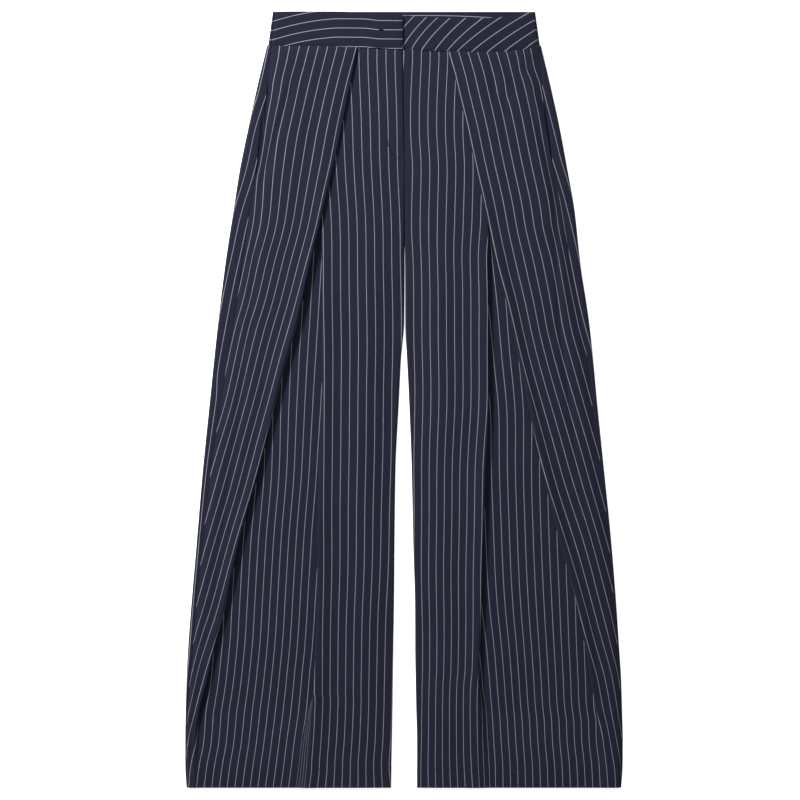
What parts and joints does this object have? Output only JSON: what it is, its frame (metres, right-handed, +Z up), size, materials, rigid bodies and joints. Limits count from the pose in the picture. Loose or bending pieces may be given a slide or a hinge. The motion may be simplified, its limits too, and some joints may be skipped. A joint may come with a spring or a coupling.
{
  "type": "harem pants",
  "caption": "Wide-leg tailored harem trousers laid flat front up, with deep folds from the waist, a concealed fly and side pockets, in pinstriped suiting.",
  "frame": {"origin": "middle of the footprint, on the surface the garment lies on", "axes": "+Y towards the waist, +X towards the wearer's left leg, +Z up, away from the surface"},
  "size_m": [0.5864, 1.039, 0.0117],
  "materials": {
    "suiting": "dark navy wool suiting with thin pale stripes",
    "suiting_shaded": "the same suiting inside the pocket opening"
  },
  "bodies": {
    "root": {"front_leg_right": "suiting", "front_leg_left": "suiting", "back_leg_right": "suiting", "back_leg_left": "suiting", "waistband_front_right": "suiting", "waistband_front_left": "suiting", "waistband_back": "suiting", "pocket_facing_right": "suiting_shaded", "pocket_facing_left": "suiting_shaded"}
  },
  "joints": []
}
